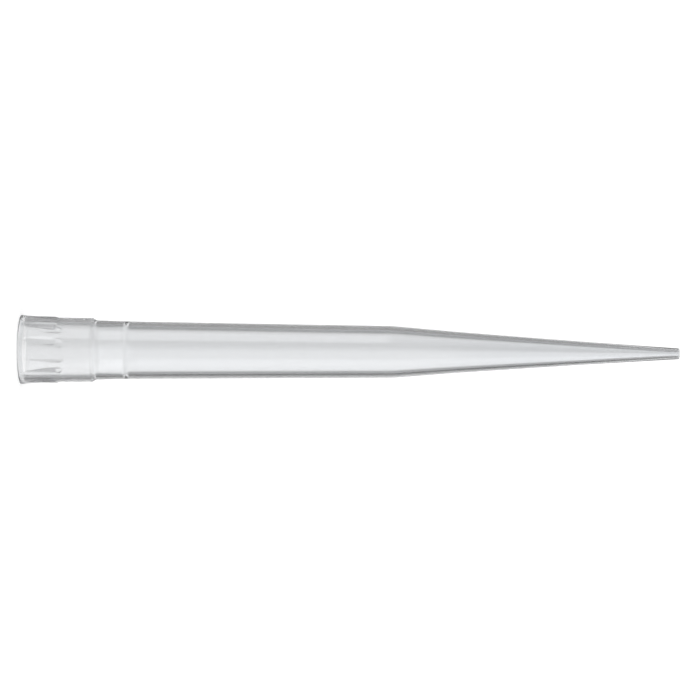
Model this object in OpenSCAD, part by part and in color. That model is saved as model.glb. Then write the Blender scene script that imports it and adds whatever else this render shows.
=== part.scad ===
// Long pipette tip of the 1000 microlitre class, moulded in one piece of natural polypropylene.
// It stands on the rim of its mouth with the fine end up.
// The origin is the centre of the rim, and +Z runs along the axis to the fine end.
// Every diameter is of a circle about that axis, and every height is measured up from the rim.

/* [Overall] */
// Length from the rim of the mouth to the fine end
tip_length = 84; // [70:0.5:104]
// Length of the fine taper, from the end of the barrel to the fine end
taper_length = 36.3; // [30:0.1:44]

/* [Socket] */
// Diameter of the straight land in the neck, which seals on the nose of the pipette
socket_d = 6.6; // [5.5:0.01:7.9]
// How much wider the bore of the collar is at its far end than the land
entry_step = 0.46; // [0.3:0.01:0.6]
// How much wider the bore of the collar is at the foot of its lead-in than at its far end
entry_draft = 0.2; // [0.05:0.01:0.3]
// Width of the bevel that leads into the bore of the collar
lead_in_width = 0.2; // [0.15:0.01:0.25]
// Depth of the bevel that leads into the bore of the collar
lead_in_depth = 0.6; // [0.5:0.05:0.8]
// Width of the stop shoulder, from the land in to the bore of the barrel
stop_width = 0.18; // [0.12:0.01:0.25]
// Length of the slope across the stop shoulder
stop_slope = 0.6; // [0.4:0.05:0.8]

/* [Collar] */
// Length of the collar, from the rim to the start of its chamfer
collar_length = 9.2; // [7.6:0.1:11.2]
// Wall of the collar at its far end
collar_wall = 0.54; // [0.45:0.01:0.65]
// How much wider the collar is where its flare ends than at its far end
collar_draft = 0.06; // [0.02:0.01:0.2]
// How much the flare widens the collar
flare_growth = 0.44; // [0.3:0.01:0.6]
// Height at which the flare of the collar ends
flare_height = 5.2; // [4.3:0.1:6.3]
// How much the short lip at the rim widens the collar again
lip_growth = 0.23; // [0.1:0.01:0.4]
// Height of the short lip at the rim
lip_height = 1.1; // [0.9:0.1:1.4]
// Length of the chamfer that steps down from the collar to the neck
chamfer_length = 0.5; // [0.4:0.05:0.8]
// Radius that rounds both edges of the rim
rim_round = 0.12; // [0.08:0.01:0.14]

/* [Ribs] */
// Number of ribs round the collar
rib_count = 12; // [8:1:14]
// Radius of the round bar that one rib is part of, at the rib's round end
rib_radius = 1.2; // [1:0.05:1.45]
// How much thicker the bar is at its foot, under the lip, than at its round end
rib_swell = 0.06; // [0.05:0.01:0.08]
// Height of the crests of the ribs at their round ends over the collar at the end of its flare
rib_rise = 0.2; // [0.16:0.01:0.24]
// Distance from the middle of a rib's round end to the end of the flare
rib_margin = 0.85; // [0.7:0.05:1.05]

/* [Neck and barrel] */
// Length of the neck, from the chamfer of the collar to the stop shoulder
neck_length = 3.6; // [3:0.1:4.4]
// Wall of the neck where it leaves the collar
neck_wall = 0.48; // [0.4:0.01:0.52]
// Wall of the barrel just past the stop shoulder
barrel_wall = 0.55; // [0.46:0.01:0.65]
// How much narrower the barrel is at its end than at the stop shoulder
barrel_draft = 0.78; // [0.5:0.01:1]
// Wall at the end of the barrel
barrel_end_wall = 0.53; // [0.44:0.01:0.63]

/* [Fine taper] */
// Length of the first and steepest stage of the taper
first_stage_length = 8.3; // [6.9:0.1:10]
// How much narrower the tip is at the end of the first stage than at its start
first_stage_drop = 1.4; // [1.2:0.01:1.6]
// Wall at the end of the first stage
first_stage_wall = 0.45; // [0.38:0.01:0.54]
// Length of the second stage of the taper
second_stage_length = 15.5; // [12.9:0.1:18.6]
// How much narrower the tip is at the end of the second stage than at its start
second_stage_drop = 2.21; // [1.9:0.01:2.4]
// Wall at the end of the second stage
second_stage_wall = 0.36; // [0.3:0.01:0.43]

/* [Fine end] */
// Diameter of the hole in the fine end
orifice_d = 0.76; // [0.63:0.01:0.92]
// Length of the straight hole in the fine end
orifice_land = 1; // [0.8:0.1:1.5]
// Wall round the hole in the fine end
fine_end_wall = 0.3; // [0.25:0.01:0.36]
// Radius that rounds the outer edge of the fine end
fine_end_round = 0.22; // [0.1:0.01:0.23]

/* [Hidden] */
$fn = 96;

// Heights at which the outside or the bore changes its slope
neck_start = collar_length + chamfer_length;
stop_height = neck_start + neck_length;
bore_start = stop_height + stop_slope;
barrel_end = tip_length - taper_length;
first_stage_end = barrel_end + first_stage_length;
second_stage_end = first_stage_end + second_stage_length;
orifice_start = tip_length - orifice_land;

// Inner diameters of the mouth and of the collar
entry_end_d = socket_d + entry_step;
entry_d = entry_end_d + entry_draft;
lead_in_d = entry_d + 2 * lead_in_width;

// Outer diameters, each from a bore or from the one before it
collar_d = entry_end_d + 2 * collar_wall;
flare_end_d = collar_d + collar_draft;
lip_d = flare_end_d + flare_growth;
rim_d = lip_d + lip_growth;
neck_d = socket_d + 2 * neck_wall;
barrel_bore_d = socket_d - 2 * stop_width;
barrel_d = barrel_bore_d + 2 * barrel_wall;
barrel_end_d = barrel_d - barrel_draft;
first_stage_d = barrel_end_d - first_stage_drop;
second_stage_d = first_stage_d - second_stage_drop;
fine_end_d = orifice_d + 2 * fine_end_wall;

// Where a rib starts, out of sight in the lip, and the height of the middle of its round end
rib_start = lip_height / 2;
rib_end = flare_height - rib_margin;

// Distance of a rib's bar from the axis, and half the angle from one rib to the next
rib_axis = flare_end_d / 2 + rib_rise - rib_radius;
half_pitch = 180 / rib_count;

// Radius at which the feet of neighbouring ribs part
rib_parting = rib_axis * cos(half_pitch)
    + sqrt(max(0, pow(rib_radius + rib_swell, 2) - pow(rib_axis * sin(half_pitch), 2)));

// Radius at which each rib's bar is cut off: in the middle of the collar's wall, so that it stays out of
// the bore, or where neighbouring ribs part, if that is further out
rib_root = max(flare_end_d / 2 - collar_wall / 2, rib_parting);

// Steps in the arcs that round the edges, and how far a cutter runs past the surface it cuts
round_steps = 6;
overrun = 1;

// Value a share of the way from one value to another
function between(first, last, share) = first + (last - first) * share;

// Radius of the lip at the height where the rounding of the rim ends
lip_foot = between(rim_d, lip_d, rim_round / lip_height) / 2;

// Points of an arc about a centre, from one angle to another
function arc_points(centre, radius, first, last) =
    [for (i = [0 : round_steps])
        let (a = between(first, last, i / round_steps))
        centre + radius * [cos(a), sin(a)]];

// Outside of the tip, from the rim up to the fine end
outside = concat(
    arc_points([lip_foot - rim_round, rim_round], rim_round, -90, 0),
    [
        [lip_d / 2, lip_height],
        [flare_end_d / 2, flare_height],
        [collar_d / 2, collar_length],
        [neck_d / 2, neck_start],
        [barrel_d / 2, stop_height],
        [barrel_end_d / 2, barrel_end],
        [first_stage_d / 2, first_stage_end],
        [second_stage_d / 2, second_stage_end]
    ],
    arc_points([fine_end_d / 2 - fine_end_round, tip_length - fine_end_round], fine_end_round, 0, 90)
);

// Bore of the tip, from the fine end back down to the rim
inside = concat(
    [
        [orifice_d / 2, tip_length],
        [orifice_d / 2, orifice_start],
        [second_stage_d / 2 - second_stage_wall, second_stage_end],
        [first_stage_d / 2 - first_stage_wall, first_stage_end],
        [barrel_end_d / 2 - barrel_end_wall, barrel_end],
        [barrel_bore_d / 2, bore_start],
        [socket_d / 2, stop_height],
        [socket_d / 2, neck_start],
        [entry_end_d / 2, collar_length],
        [entry_d / 2, lead_in_depth]
    ],
    arc_points([lead_in_d / 2 + rim_round, rim_round], rim_round, 180, 270)
);

// Wall of the tip, turned about the axis
module wall() {
    rotate_extrude()
        polygon(concat(outside, inside));
}

// One rib: a round bar with a ball end, which stands out of the flare more and more up to its end
module rib() {
    translate([rib_axis, 0, 0])
        rotate([0, 0, 180]) {
            translate([0, 0, rib_start])
                cylinder(r1 = rib_radius + rib_swell, r2 = rib_radius, h = rib_end - rib_start);
            translate([0, 0, rib_end])
                sphere(r = rib_radius);
        }
}

// All the ribs, each cut off inside the wall of the collar
module ribs() {
    difference() {
        for (i = [0 : rib_count - 1])
            rotate([0, 0, (i + 0.5) * 360 / rib_count])
                rib();
        translate([0, 0, rib_start - overrun])
            cylinder(r = rib_root, h = rib_end + rib_radius - rib_start + 2 * overrun);
    }
}

module tip_body() {
    color("gainsboro", 0.6) {
        wall();
        ribs();
    }
}

tip_body();
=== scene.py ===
"""Pipette tip: the visible body of a long moulded tip, its translucent finish and its studio stage."""

import math

import bpy
from mathutils import Matrix, Vector


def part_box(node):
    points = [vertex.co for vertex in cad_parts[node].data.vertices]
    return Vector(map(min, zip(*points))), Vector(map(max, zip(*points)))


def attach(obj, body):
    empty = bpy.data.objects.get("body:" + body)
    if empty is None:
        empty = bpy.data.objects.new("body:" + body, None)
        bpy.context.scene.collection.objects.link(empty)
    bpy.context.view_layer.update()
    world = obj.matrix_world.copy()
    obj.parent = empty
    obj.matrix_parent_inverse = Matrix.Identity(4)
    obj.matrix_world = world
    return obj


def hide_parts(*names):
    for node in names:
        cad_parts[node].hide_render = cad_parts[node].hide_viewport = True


bl_info = {
    "name": "Pipette Tip",
    "version": (1, 0, 0),
    "blender": (4, 5, 0),
    "location": "View3D > Sidebar > Pipette Tip",
    "description": "Models a long moulded pipette tip, with its finish and its studio stage",
    "category": "Add Mesh",
}

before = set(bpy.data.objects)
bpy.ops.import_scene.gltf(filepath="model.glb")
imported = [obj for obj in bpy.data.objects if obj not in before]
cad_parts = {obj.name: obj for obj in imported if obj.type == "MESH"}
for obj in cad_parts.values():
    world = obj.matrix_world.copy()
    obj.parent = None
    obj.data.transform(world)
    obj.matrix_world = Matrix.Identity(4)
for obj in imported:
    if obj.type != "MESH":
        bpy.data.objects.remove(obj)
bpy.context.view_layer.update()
TIP_NODE = "tip_body"
TIP_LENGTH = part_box(TIP_NODE)[1].z
MM = 0.001

# A corner is eased over at most this share of a side, so that the corners at its ends never meet
CORNER_SHARE = 0.49
# Steps that round a corner of the section, the ball of a rib and the bar of a rib
BLEND_STEPS = 6
BALL_STEPS = 32
BAR_STEPS = 128
# Points closer than this are merged, and faces that meet at less than this angle are shaded smooth
MERGE_DISTANCE = MM / 1000
SMOOTH_ANGLE = math.radians(14)

# Flow bands across and along the tip and the finer grain, as a count for each metre, and how much they
# raise the surface, in metres
FLOW_SCALE = (900.0, 900.0, 90.0)
GRAIN_SCALE = 2600.0
GRAIN_SHARE = 0.3
BUMP_STRENGTH = 0.25
BUMP_HEIGHT = 0.00001

# Upright panels round the tip, in degrees: the angle of the centre from the backdrop's side, and the angles
# from the centre at which a panel starts to fade and has faded out
FRONT = (180, 20, 80)
MAIN_BOX = (117, 16, 24)
LOW_CARD = (-54, 11, 35)
HIGH_CARD = (24, 30, 83)
BACKDROP = (-3, 9, 14)
BACKDROP_EDGE = (6.5, 4.5, 7)
# Heights on a sphere of radius 1 round the tip, between which one level of light gives way to another.
# Those of the apron and the ground are measured down, and the apron takes over only a share.
MAIN_BOX_TOP = (-0.06, 0.02)
CEILING = (0.06, 0.2)
APRON = (0.26, 0.42)
GROUND = (0.47, 0.6)
APRON_SHARE = 0.6

# Width of the floor in metres, the white of its card, and the glow that the camera sees on it
FLOOR_WIDTH = 24.0
CARD_WHITE = 0.8
CARD_GLOW = 0.34
# Width of the camera's sensor in millimetres, and how far it sees in metres
SENSOR_WIDTH = 36.0
VIEW_REACH = 40.0


def length_prop(name, description, millimetres):
    """A property that holds a length, given here in millimetres and kept in metres."""
    return bpy.props.FloatProperty(
        name=name, description=description, default=millimetres * MM, unit="LENGTH", precision=5
    )


def factor_prop(name, description, value):
    """A property that holds a share from 0 to 1."""
    return bpy.props.FloatProperty(
        name=name, description=description, default=value, min=0, max=1, subtype="FACTOR"
    )


def level_prop(name, description, value):
    """A property that holds a brightness, where 1 is white."""
    return bpy.props.FloatProperty(name=name, description=description, default=value, min=0)


def angle_prop(name, description, degrees):
    """A property that holds an angle, given here in degrees."""
    return bpy.props.FloatProperty(
        name=name, description=description, default=math.radians(degrees), subtype="ANGLE"
    )


def colour_prop(name, description, colour):
    """A property that holds a colour."""
    return bpy.props.FloatVectorProperty(
        name=name, description=description, default=colour, subtype="COLOR", size=3, min=0, max=1
    )


class TipSizes(bpy.types.PropertyGroup):
    """Sizes of the moulded body. Heights are measured up from the rim of the mouth."""

    tip_length: length_prop("Tip length", "From the rim of the mouth to the fine end", TIP_LENGTH / MM)
    taper_length: length_prop("Taper length", "Length of the fine taper", 36.3)
    socket_d: length_prop("Socket", "Diameter of the straight land in the neck", 6.6)
    entry_step: length_prop("Entry step", "How much wider the collar's bore ends than the land", 0.46)
    entry_draft: length_prop("Entry draft", "How much wider the collar's bore starts than it ends", 0.2)
    lead_in_width: length_prop("Lead-in width", "Width of the bevel that leads into the bore", 0.2)
    lead_in_depth: length_prop("Lead-in depth", "Depth of the bevel that leads into the bore", 0.6)
    stop_width: length_prop("Stop width", "Width of the stop shoulder", 0.18)
    stop_slope: length_prop("Stop slope", "Length of the slope across the stop shoulder", 0.6)
    collar_length: length_prop("Collar length", "From the rim to the collar's chamfer", 9.2)
    collar_wall: length_prop("Collar wall", "Wall of the collar at its far end", 0.54)
    collar_draft: length_prop("Collar draft", "How much wider the collar is where its flare ends", 0.06)
    flare_growth: length_prop("Flare growth", "How much the flare widens the collar", 0.44)
    flare_height: length_prop("Flare height", "Height at which the flare ends", 5.2)
    lip_growth: length_prop("Lip growth", "How much the lip widens the collar again", 0.23)
    lip_height: length_prop("Lip height", "Height of the lip at the rim", 1.1)
    chamfer_length: length_prop("Chamfer length", "Length of the step from collar to neck", 0.5)
    rim_round: length_prop("Rim rounding", "Radius that rounds both edges of the rim", 0.12)
    neck_length: length_prop("Neck length", "From the collar's chamfer to the stop shoulder", 3.6)
    neck_wall: length_prop("Neck wall", "Wall of the neck where it leaves the collar", 0.48)
    barrel_wall: length_prop("Barrel wall", "Wall of the barrel past the stop shoulder", 0.55)
    barrel_draft: length_prop("Barrel draft", "How much the barrel narrows to its end", 0.78)
    barrel_end_wall: length_prop("Barrel end wall", "Wall at the end of the barrel", 0.53)
    first_stage_length: length_prop("First stage", "Length of the taper's first stage", 8.3)
    first_stage_drop: length_prop("First drop", "How much the first stage narrows", 1.4)
    first_stage_wall: length_prop("First wall", "Wall at the end of the first stage", 0.45)
    second_stage_length: length_prop("Second stage", "Length of the taper's second stage", 15.5)
    second_stage_drop: length_prop("Second drop", "How much the second stage narrows", 2.21)
    second_stage_wall: length_prop("Second wall", "Wall at the end of the second stage", 0.36)
    orifice_d: length_prop("Orifice", "Diameter of the hole in the fine end", 0.76)
    orifice_land: length_prop("Orifice land", "Length of the straight hole in the fine end", 1.0)
    fine_end_wall: length_prop("Fine end wall", "Wall round the hole in the fine end", 0.3)
    fine_end_round: length_prop("Fine end rounding", "Radius that rounds the fine end", 0.22)
    rib_count: bpy.props.IntProperty(name="Ribs", description="Number of ribs", default=12, min=8, max=14)
    rib_radius: length_prop("Rib radius", "Radius of the bar that a rib is part of", 1.2)
    rib_swell: length_prop("Rib swell", "How much thicker the bar is at its foot than at its end", 0.06)
    rib_rise: length_prop("Rib rise", "Height of the crests over the collar at the end of its flare", 0.2)
    rib_margin: length_prop("Rib margin", "From the middle of a rib's round end to the flare's end", 0.85)
    edge_blend: length_prop("Edge blend", "Reach of the soft blend at a moulded edge", 0.07)
    step_blend: length_prop("Step blend", "Reach of the soft blend at a step in the bore", 0.25)
    slope_blend: length_prop("Slope blend", "Reach of the soft blend where a taper changes", 0.9)
    turn_steps: bpy.props.IntProperty(
        name="Turn steps", description="Steps round the axis", default=240, min=48
    )


class TipFinish(bpy.types.PropertyGroup):
    """Colour and clarity of the natural polypropylene. Its tint is set zone by zone, lighter in the collar
    and darker in the fine taper than in the barrel.
    """

    # Each zone has its own tint. The collar's is lighter and the fine taper's darker, so the taper renders
    # darker all round.
    collar_tint: colour_prop("Collar tint", "Colour of light that crosses the collar", (0.965, 0.971, 0.978))
    barrel_tint: colour_prop("Barrel tint", "The same in the neck and barrel", (0.924, 0.932, 0.941))
    taper_tint: colour_prop("Taper tint", "The same in the fine taper", (0.89, 0.9, 0.912))
    milk: colour_prop("Milk", "Colour of the milky part", (0.92, 0.93, 0.945))
    collar_haze: factor_prop("Collar haze", "Share of the light that the collar's milky part scatters", 0.1)
    neck_haze: factor_prop("Neck haze", "The same share in the polished neck", 0.015)
    barrel_haze: factor_prop("Barrel haze", "The same share in the barrel", 0.045)
    taper_haze: factor_prop("Taper haze", "The same share in the fine taper", 0.03)
    haze_change: factor_prop("Haze change", "How much of the haze comes and goes along the flow", 0.3)
    roughness: factor_prop("Roughness", "Roughness of the moulded surface", 0.06)
    roughness_change: factor_prop("Roughness change", "How much the roughness varies", 0.02)
    refraction: bpy.props.FloatProperty(name="Refraction", description="Index of refraction", default=1.49)


class StudioLevels(bpy.types.PropertyGroup):
    """Camera place and light levels of the stage."""

    camera_elevation: angle_prop("Camera elevation", "How far the camera looks down", 5.3)
    camera_azimuth: angle_prop("Camera azimuth", "How far the camera stands round from the -Y side", 2.0)
    camera_roll: angle_prop("Camera roll", "Tilt of the tip in the picture, downhill to the fine end", 0.38)
    camera_distance: length_prop("Camera distance", "From the camera to the tip's axis", 1100.0)
    picture_width: length_prop("Picture width", "Width of the view at the tip's axis", 88.94)
    aim_height: length_prop("Aim height", "Height on the tip at the middle of the picture", 42.12)
    aim_side: length_prop("Aim side", "How far the middle of the picture lies off the axis", -0.205)
    backdrop: level_prop("Backdrop", "Brightness of the backdrop behind the tip", 1.0)
    backdrop_edge: level_prop("Backdrop edge", "Brightness of the backdrop's dimmer edge", 0.75)
    sides: level_prop("Sides", "Brightness of the large panels at the tip's sides", 1.45)
    main_box: level_prop("Main box", "Brightness of the soft box above the tip in the picture", 2.2)
    front: level_prop("Front", "Brightness of the room on the camera's side", 0.75)
    high_card: level_prop("High card", "Brightness of the grey card above the tip in the picture", 0.34)
    low_card: level_prop("Low card", "Brightness of the dark card below the tip in the picture", 0.13)
    ceiling: level_prop("Ceiling", "Brightness of the ceiling over the cards", 0.9)
    apron: level_prop("Apron", "Brightness that the panels fade to at their feet", 0.9)
    ground: level_prop("Ground", "Brightness of the ground below the tip", 1.1)


def blended(corners, steps):
    """Points along a line of (radius, height, reach) corners, each corner eased over its reach."""
    points = []
    for i, (radius, height, reach) in enumerate(corners):
        here = Vector((radius, height))
        if reach == 0:
            points.append(here)
            continue
        before = Vector(corners[i - 1][:2])
        after = Vector(corners[(i + 1) % len(corners)][:2])
        start = here + (before - here).normalized() * min(reach, (before - here).length * CORNER_SHARE)
        end = here + (after - here).normalized() * min(reach, (after - here).length * CORNER_SHARE)
        for step in range(steps + 1):
            t = step / steps
            points.append(start * (1 - t) ** 2 + here * (2 * t * (1 - t)) + end * t**2)
    return points


def collar_radius(sizes, height):
    """Outer radius of the collar at a height below the end of its flare."""
    flare_end = (sizes.socket_d + sizes.entry_step + sizes.collar_draft) / 2 + sizes.collar_wall
    lip_top = flare_end + sizes.flare_growth / 2
    if height < sizes.lip_height:
        return lip_top + sizes.lip_growth / 2 * (1 - height / sizes.lip_height)
    share = (height - sizes.lip_height) / (sizes.flare_height - sizes.lip_height)
    return lip_top + (flare_end - lip_top) * share


def body_outline(sizes):
    """Closed section of the wall: up the outside from the rim, over the fine end and down the bore."""
    s = sizes
    neck_start = s.collar_length + s.chamfer_length
    stop_height = neck_start + s.neck_length
    barrel_end = s.tip_length - s.taper_length
    first_end = barrel_end + s.first_stage_length
    second_end = first_end + s.second_stage_length
    entry_end = (s.socket_d + s.entry_step) / 2
    entry = entry_end + s.entry_draft / 2
    bore = s.socket_d / 2 - s.stop_width
    barrel_last = bore + s.barrel_wall - s.barrel_draft / 2
    first_last = barrel_last - s.first_stage_drop / 2
    second_last = first_last - s.second_stage_drop / 2
    orifice = s.orifice_d / 2
    edge, soft, slope = s.edge_blend, s.step_blend, s.slope_blend
    rim, fine = s.rim_round, s.fine_end_round
    return blended(
        [
            (collar_radius(s, 0), 0, rim),
            (collar_radius(s, s.lip_height), s.lip_height, slope / 3),
            (collar_radius(s, s.flare_height), s.flare_height, slope / 3),
            (entry_end + s.collar_wall, s.collar_length, edge),
            (s.socket_d / 2 + s.neck_wall, neck_start, edge),
            (bore + s.barrel_wall, stop_height, slope),
            (barrel_last, barrel_end, slope),
            (first_last, first_end, slope),
            (second_last, second_end, slope),
            (orifice + s.fine_end_wall, s.tip_length, fine),
            (orifice, s.tip_length, edge / 3),
            (orifice, s.tip_length - s.orifice_land, slope / 3),
            (second_last - s.second_stage_wall, second_end, slope),
            (first_last - s.first_stage_wall, first_end, slope),
            (barrel_last - s.barrel_end_wall, barrel_end, slope),
            (bore, stop_height + s.stop_slope, soft),
            (s.socket_d / 2, stop_height, soft),
            (s.socket_d / 2, neck_start, soft),
            (entry_end, s.collar_length, soft),
            (entry, s.lead_in_depth, edge * 2),
            (entry + s.lead_in_width, 0, rim),
        ],
        BLEND_STEPS,
    )


def select_only(piece):
    """Makes a piece the only one selected, and the active one."""
    bpy.ops.object.select_all(action="DESELECT")
    piece.select_set(True)
    bpy.context.view_layer.objects.active = piece


def turned(name, outline, steps):
    """A solid turned about the Z axis: a point is extruded along the closed outline, and that is spun."""
    first = outline[0]
    bpy.ops.object.select_all(action="DESELECT")
    bpy.ops.mesh.primitive_plane_add(size=MM, location=(0, 0, 0))
    piece = bpy.context.object
    piece.name = name
    bpy.ops.object.mode_set(mode="EDIT")
    bpy.ops.mesh.select_all(action="SELECT")
    bpy.ops.mesh.merge(type="CENTER")
    bpy.ops.transform.translate(value=(first.x, 0, first.y))
    for here, there in zip(outline, outline[1:] + [first]):
        step = there - here
        bpy.ops.mesh.extrude_region_move(TRANSFORM_OT_translate={"value": (step.x, 0, step.y)})
    bpy.ops.mesh.select_all(action="SELECT")
    bpy.ops.mesh.spin(steps=steps, angle=math.tau, center=(0, 0, 0), axis=(0, 0, 1))
    bpy.ops.mesh.select_all(action="SELECT")
    bpy.ops.mesh.remove_doubles(threshold=MERGE_DISTANCE)
    bpy.ops.mesh.normals_make_consistent(inside=False)
    bpy.ops.object.mode_set(mode="OBJECT")
    return piece


def combine(piece, other, operation):
    """Joins another solid to a piece, or cuts it away, and removes the other solid."""
    select_only(piece)
    modifier = piece.modifiers.new("Combine", "BOOLEAN")
    modifier.object = other
    modifier.operation = operation
    bpy.ops.object.modifier_apply(modifier=modifier.name)
    bpy.data.objects.remove(other)


def collar_ribs(sizes):
    """The ribs: one round bar with a ball end, cut back into the collar's wall and copied round the axis."""
    s = sizes
    flare_end = collar_radius(s, s.flare_height)
    bar_axis = flare_end + s.rib_rise - s.rib_radius
    half_pitch = math.pi / s.rib_count
    foot_room = (s.rib_radius + s.rib_swell) ** 2 - (bar_axis * math.sin(half_pitch)) ** 2
    parting = bar_axis * math.cos(half_pitch) + math.sqrt(max(0, foot_room))
    root = max(flare_end - s.collar_wall / 2, parting)
    start, end = s.lip_height / 2, s.flare_height - s.rib_margin
    ball = [
        Vector((s.rib_radius * math.sin(a), end + s.rib_radius * math.cos(a)))
        for a in (math.pi / 2 * i / BALL_STEPS for i in range(BALL_STEPS + 1))
    ]
    foot = [Vector((s.rib_radius + s.rib_swell, start)), Vector((0, start))]
    bar = turned("collar_ribs", ball + foot, BAR_STEPS)
    bar.location.x = bar_axis
    bpy.ops.object.transform_apply(location=True, rotation=True, scale=True)
    bpy.ops.mesh.primitive_cylinder_add(
        vertices=s.turn_steps, radius=root, depth=4 * s.flare_height, location=(0, 0, 0)
    )
    combine(bar, bpy.context.object, "DIFFERENCE")
    bars = [bar]
    for i in range(1, s.rib_count):
        select_only(bar)
        bpy.ops.object.duplicate()
        bars.append(bpy.context.object)
    for i, copy in enumerate(bars):
        copy.matrix_world = Matrix.Rotation((i + 0.5) * math.tau / s.rib_count, 4, "Z")
    select_only(bar)
    for copy in bars:
        copy.select_set(True)
    bpy.ops.object.join()
    bpy.ops.object.transform_apply(location=True, rotation=True, scale=True)
    return bar


class MESH_OT_tip_body(bpy.types.Operator):
    """Turn the tip's wall, add the ribs of its collar and give it its finish"""

    bl_idname = "mesh.tip_body"
    bl_label = "Tip body"

    def execute(self, context):
        sizes = context.scene.tip_sizes
        body = turned("moulded_tip", body_outline(sizes), sizes.turn_steps)
        combine(body, collar_ribs(sizes), "UNION")
        bpy.ops.object.shade_smooth_by_angle(angle=SMOOTH_ANGLE)
        body.data.materials.clear()
        body.data.materials.append(polypropylene(context.scene.tip_finish, sizes))
        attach(body, "root")
        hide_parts(TIP_NODE)
        return {"FINISHED"}


class Socket:
    """A node's output in an expression: arithmetic on it adds Math nodes to its tree."""

    def __init__(self, tree, output):
        self.tree, self.output = tree, output

    def math(self, operation, *values):
        return add_node(self.tree, "ShaderNodeMath", {"operation": operation}, dict(enumerate(values)))

    def __add__(self, other):
        return self.math("ADD", self, other)

    def __sub__(self, other):
        return self.math("SUBTRACT", self, other)

    def __rsub__(self, other):
        return self.math("SUBTRACT", other, self)

    def __mul__(self, other):
        return self.math("MULTIPLY", self, other)

    __radd__, __rmul__ = __add__, __mul__


def add_node(tree, kind, settings=None, values=None, output=0):
    """Adds a node, sets its settings first and then its sockets' values or links, and returns one output."""
    node = tree.nodes.new(kind)
    for key, value in (settings or {}).items():
        setattr(node, key, value)
    for key, value in (values or {}).items():
        if isinstance(value, Socket):
            tree.links.new(value.output, node.inputs[key])
        else:
            node.inputs[key].default_value = value
    return Socket(tree, node.outputs[output])


def fresh_tree(owner):
    """An emptied node tree of a material or the world."""
    owner.use_nodes = True
    owner.node_tree.nodes.clear()
    return owner.node_tree


def output_node(tree, surface, kind="ShaderNodeOutputMaterial"):
    """The last node of a material or the world."""
    node = tree.nodes.new(kind)
    tree.links.new(surface.output, node.inputs["Surface"])


def eased(tree, value, start, end):
    """0 before the start and 1 past the end, with a soft change between."""
    return add_node(
        tree,
        "ShaderNodeMapRange",
        {"interpolation_type": "SMOOTHSTEP"},
        {"Value": value, "From Min": start, "From Max": end},
    )


def zones(tree, height, sizes):
    """How far a height is past the collar, past the neck and past the barrel, each from 0 to 1."""
    neck_start = sizes.collar_length + sizes.chamfer_length
    stop_height = neck_start + sizes.neck_length
    barrel_end = sizes.tip_length - sizes.taper_length
    return (
        eased(tree, height, sizes.collar_length, neck_start),
        eased(tree, height, stop_height - sizes.edge_blend, stop_height + sizes.stop_slope),
        eased(tree, height, barrel_end, barrel_end + 2 * sizes.first_stage_length),
    )


def mixed_colour(tree, share, first, last):
    """A colour a share of the way from one colour to another: a Mix node has colours at sockets 6 and 7."""
    first, last = (colour if isinstance(colour, Socket) else (*colour, 1.0) for colour in (first, last))
    return add_node(tree, "ShaderNodeMix", {"data_type": "RGBA"}, {0: share, 6: first, 7: last}, output=2)


def polypropylene(finish, sizes):
    """Natural polypropylene: milky in the collar, clear in the polished neck, with faint flow bands."""
    material = bpy.data.materials.new("natural_polypropylene")
    tree = fresh_tree(material)
    place = add_node(tree, "ShaderNodeTexCoord", output="Object")
    flow = add_node(tree, "ShaderNodeMapping", values={"Vector": place, "Scale": FLOW_SCALE})
    clouds = add_node(tree, "ShaderNodeTexNoise", values={"Vector": flow, "Scale": 1.0, "Detail": 3.0})
    grain = add_node(
        tree, "ShaderNodeTexNoise", values={"Vector": place, "Scale": GRAIN_SCALE, "Detail": 2.0}
    )
    swing = 2 * clouds - 1
    normal = add_node(
        tree,
        "ShaderNodeBump",
        values={"Strength": BUMP_STRENGTH, "Distance": BUMP_HEIGHT, "Height": clouds + GRAIN_SHARE * grain},
    )
    height = add_node(tree, "ShaderNodeSeparateXYZ", values={"Vector": place}, output="Z")
    in_neck, in_barrel, in_taper = zones(tree, height, sizes)
    tint = mixed_colour(tree, in_neck, finish.collar_tint, finish.barrel_tint)
    clear = add_node(
        tree,
        "ShaderNodeBsdfPrincipled",
        values={
            "Base Color": mixed_colour(tree, in_taper, tint, finish.taper_tint),
            "Roughness": finish.roughness + finish.roughness_change * swing,
            "IOR": finish.refraction,
            "Transmission Weight": 1.0,
            "Normal": normal,
        },
    )
    cloudy = {"Color": (*finish.milk, 1.0), "Normal": normal}
    through = add_node(tree, "ShaderNodeBsdfTranslucent", values=cloudy)
    skin = add_node(tree, "ShaderNodeBsdfDiffuse", values=cloudy)
    from_within = add_node(tree, "ShaderNodeNewGeometry", output="Backfacing")
    milk = add_node(tree, "ShaderNodeMixShader", values={"Fac": from_within, 1: skin, 2: through})
    haze = (
        finish.collar_haze
        + (finish.neck_haze - finish.collar_haze) * in_neck
        + (finish.barrel_haze - finish.neck_haze) * in_barrel
        + (finish.taper_haze - finish.barrel_haze) * in_taper
    )
    share = haze * (1 + finish.haze_change * swing)
    surface = add_node(tree, "ShaderNodeMixShader", values={"Fac": share, 1: clear, 2: milk})
    output_node(tree, surface)
    return material


def round_the_tip(azimuth, degrees):
    """Level unit vector at an angle from the backdrop's side, turned towards the top of the picture."""
    a = math.radians(degrees) + azimuth
    return Vector((-math.sin(a), math.cos(a), 0))


def panel(tree, level_way, azimuth, centre, full, empty):
    """1 in front of an upright panel and 0 beside it: it ends softly between two angles from its centre."""
    facing = add_node(
        tree,
        "ShaderNodeVectorMath",
        {"operation": "DOT_PRODUCT"},
        {0: level_way, 1: round_the_tip(azimuth, centre)},
        output="Value",
    )
    return eased(tree, facing, math.cos(math.radians(empty)), math.cos(math.radians(full)))


def covered(level, other, share):
    """A level of light, taken over by another one where the share is 1."""
    return level * (1 - share) + other * share


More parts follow.
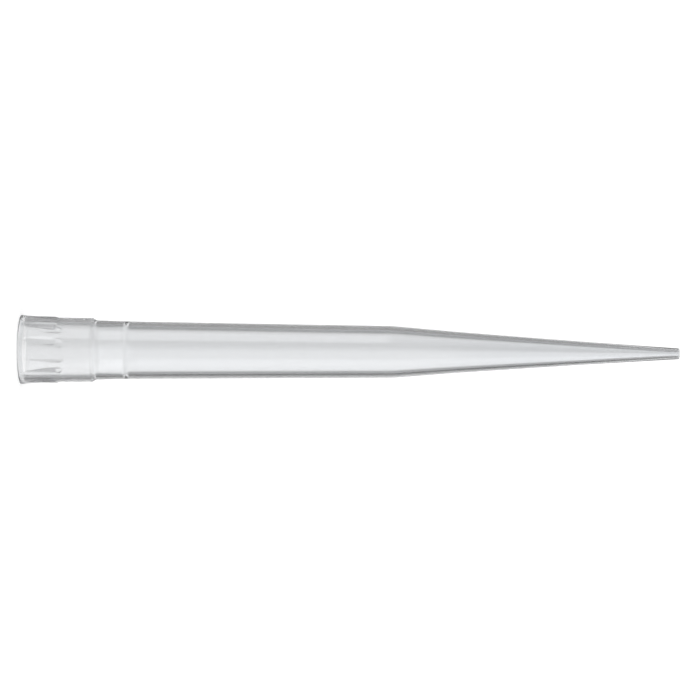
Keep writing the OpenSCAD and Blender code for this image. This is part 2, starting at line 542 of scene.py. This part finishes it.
def studio_world(levels):
    """Panels and cards round the tip, which glass and gloss show, and plain white for other rays."""
    world = bpy.data.worlds.new("studio")
    tree = fresh_tree(world)
    way = add_node(tree, "ShaderNodeTexCoord", output="Generated")
    flat = add_node(tree, "ShaderNodeVectorMath", {"operation": "MULTIPLY"}, {0: way, 1: (1, 1, 0)})
    level_way = add_node(tree, "ShaderNodeVectorMath", {"operation": "NORMALIZE"}, {0: flat})
    azimuth = levels.camera_azimuth
    height = add_node(tree, "ShaderNodeSeparateXYZ", values={"Vector": way}, output="Z")
    below_top = 1 - eased(tree, height, *MAIN_BOX_TOP)
    level = covered(levels.sides, levels.front, panel(tree, level_way, azimuth, *FRONT))
    level = covered(level, levels.main_box, below_top * panel(tree, level_way, azimuth, *MAIN_BOX))
    level = covered(level, levels.low_card, panel(tree, level_way, azimuth, *LOW_CARD))
    level = covered(level, levels.high_card, panel(tree, level_way, azimuth, *HIGH_CARD))
    level = covered(level, levels.backdrop, panel(tree, level_way, azimuth, *BACKDROP))
    level = covered(level, levels.backdrop_edge, panel(tree, level_way, azimuth, *BACKDROP_EDGE))
    level = covered(level, levels.ceiling, eased(tree, height, *CEILING))
    level = covered(level, levels.apron, APRON_SHARE * eased(tree, -1 * height, *APRON))
    level = covered(level, levels.ground, eased(tree, -1 * height, *GROUND))
    room = add_node(tree, "ShaderNodeBackground", values={"Color": (1, 1, 1, 1), "Strength": level})
    white = add_node(tree, "ShaderNodeBackground", values={"Color": (1, 1, 1, 1), "Strength": 1.0})
    camera_ray = add_node(tree, "ShaderNodeLightPath", output="Is Camera Ray")
    scattered = add_node(tree, "ShaderNodeLightPath", output="Diffuse Depth")
    seen = add_node(tree, "ShaderNodeMixShader", values={"Fac": camera_ray + scattered, 1: room, 2: white})
    output_node(tree, seen, "ShaderNodeOutputWorld")
    return world


def floor_finish():
    """Matt white card that the camera sees as white, with the tip's faint shadow on it."""
    material = bpy.data.materials.new("white_card")
    tree = fresh_tree(material)
    white = (CARD_WHITE, CARD_WHITE, CARD_WHITE, 1)
    card = add_node(tree, "ShaderNodeBsdfDiffuse", values={"Color": white})
    glow = add_node(tree, "ShaderNodeEmission", values={"Strength": CARD_GLOW})
    both = add_node(tree, "ShaderNodeAddShader", values={0: card, 1: glow})
    camera_ray = add_node(tree, "ShaderNodeLightPath", output="Is Camera Ray")
    seen = add_node(tree, "ShaderNodeMixShader", values={"Fac": camera_ray, 1: card, 2: both})
    output_node(tree, seen)
    return material


class SCENE_OT_tip_stage(bpy.types.Operator):
    """Lay the white floor, light the studio and set up the camera"""

    bl_idname = "scene.tip_stage"
    bl_label = "Stage"

    def execute(self, context):
        scene = context.scene
        levels = scene.studio_levels
        bpy.ops.object.select_all(action="DESELECT")
        bpy.ops.mesh.primitive_plane_add(size=FLOOR_WIDTH, location=(0, 0, 0))
        floor = context.object
        floor.name = "floor"
        floor.data.materials.append(floor_finish())
        floor.visible_glossy = False
        floor.visible_transmission = False
        scene.world = studio_world(levels)
        self.camera(scene, levels)
        scene.view_settings.view_transform = "Standard"
        return {"FINISHED"}

    def camera(self, scene, levels):
        """The camera lies on its side, so that the standing tip runs across the picture."""
        azimuth, elevation = levels.camera_azimuth, levels.camera_elevation
        back = Vector(
            (
                math.sin(azimuth) * math.cos(elevation),
                -math.cos(azimuth) * math.cos(elevation),
                math.sin(elevation),
            )
        )
        across = Vector((math.cos(azimuth), math.sin(azimuth), 0))
        up = back.cross(across)
        roll = levels.camera_roll
        right = up * math.cos(roll) - across * math.sin(roll)
        top = back.cross(right)
        aim = Vector((0, 0, levels.aim_height)) + across * levels.aim_side
        bpy.ops.object.camera_add()
        camera = bpy.context.object
        camera.name = "camera"
        turn = Matrix((right, top, back)).transposed().to_4x4()
        camera.matrix_world = Matrix.Translation(aim + back * levels.camera_distance) @ turn
        camera.data.sensor_width = SENSOR_WIDTH
        camera.data.lens = SENSOR_WIDTH * levels.camera_distance / levels.picture_width
        camera.data.clip_end = VIEW_REACH
        scene.camera = camera


class VIEW3D_PT_pipette_tip(bpy.types.Panel):
    """Buttons and settings of the pipette tip"""

    bl_label = "Pipette Tip"
    bl_space_type = "VIEW_3D"
    bl_region_type = "UI"
    bl_category = "Pipette Tip"

    def draw(self, context):
        layout = self.layout
        for operator in (MESH_OT_tip_body, SCENE_OT_tip_stage):
            layout.operator(operator.bl_idname)
        for group in (context.scene.tip_sizes, context.scene.tip_finish, context.scene.studio_levels):
            box = layout.box()
            for name in group.bl_rna.properties.keys():
                if name not in ("rna_type", "name"):
                    box.prop(group, name)


CLASSES = (TipSizes, TipFinish, StudioLevels, MESH_OT_tip_body, SCENE_OT_tip_stage, VIEW3D_PT_pipette_tip)


def register():
    for cls in CLASSES:
        bpy.utils.register_class(cls)
    bpy.types.Scene.tip_sizes = bpy.props.PointerProperty(type=TipSizes)
    bpy.types.Scene.tip_finish = bpy.props.PointerProperty(type=TipFinish)
    bpy.types.Scene.studio_levels = bpy.props.PointerProperty(type=StudioLevels)


def unregister():
    del bpy.types.Scene.studio_levels
    del bpy.types.Scene.tip_finish
    del bpy.types.Scene.tip_sizes
    for cls in reversed(CLASSES):
        bpy.utils.unregister_class(cls)


def main():
    register()
    bpy.ops.mesh.tip_body()
    bpy.ops.scene.tip_stage()


if __name__ == "__main__":
    main()
